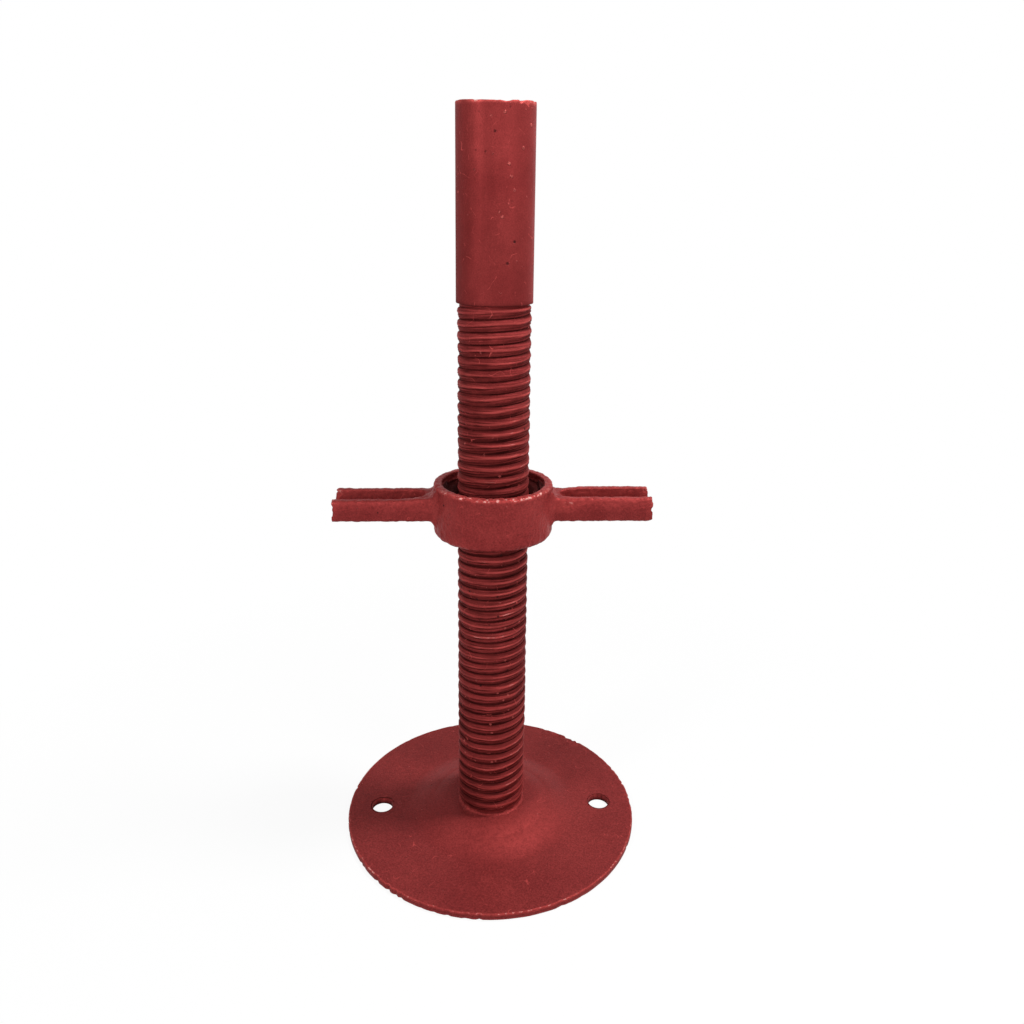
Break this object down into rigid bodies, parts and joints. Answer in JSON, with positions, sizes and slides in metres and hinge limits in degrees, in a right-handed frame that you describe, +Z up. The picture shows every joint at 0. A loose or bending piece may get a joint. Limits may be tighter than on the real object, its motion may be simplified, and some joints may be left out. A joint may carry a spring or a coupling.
{
  "type": "scaffold base jack",
  "caption": "Adjustable scaffold foot: round pressed base plate with nail holes, threaded tube stem with a plain top, and a cast nut with channel ears and a seat for the upright tube.",
  "frame": {"origin": "centre of the sole, on the ground, on the stem's axis", "axes": "+Z up along the stem, +X along the nut's right ear and the line of the two nail holes, -Y towards the viewer"},
  "size_m": [0.164, 0.16, 0.38],
  "materials": {
    "plate_paint": "semi-gloss red brushed paint over sheet steel",
    "stem_paint": "semi-gloss red dipped paint over rolled steel tube",
    "nut_paint": "semi-gloss red dipped paint over rough cast iron"
  },
  "bodies": {
    "jack": {"base_plate": "plate_paint", "stem": "stem_paint"},
    "weld": {"weld_bead": "plate_paint"},
    "nut": {"handle_nut": "nut_paint"}
  },
  "joints": [
    {"name": "nut_turn", "type": "hinge", "parent": "jack", "child": "weld", "pos_m": [0, 0, 0.18], "axis": [0, 0, 1], "range_deg": [-9000, 5040]},
    {"name": "nut_climb", "type": "slide", "parent": "weld", "child": "nut", "axis": [0, 0, 1], "range_m": [-0.1501, 0.0841]}
  ],
  "couplings": [
    {"joint": "nut_climb", "follows": "nut_turn", "m_per_rad": 0.00095493}
  ]
}
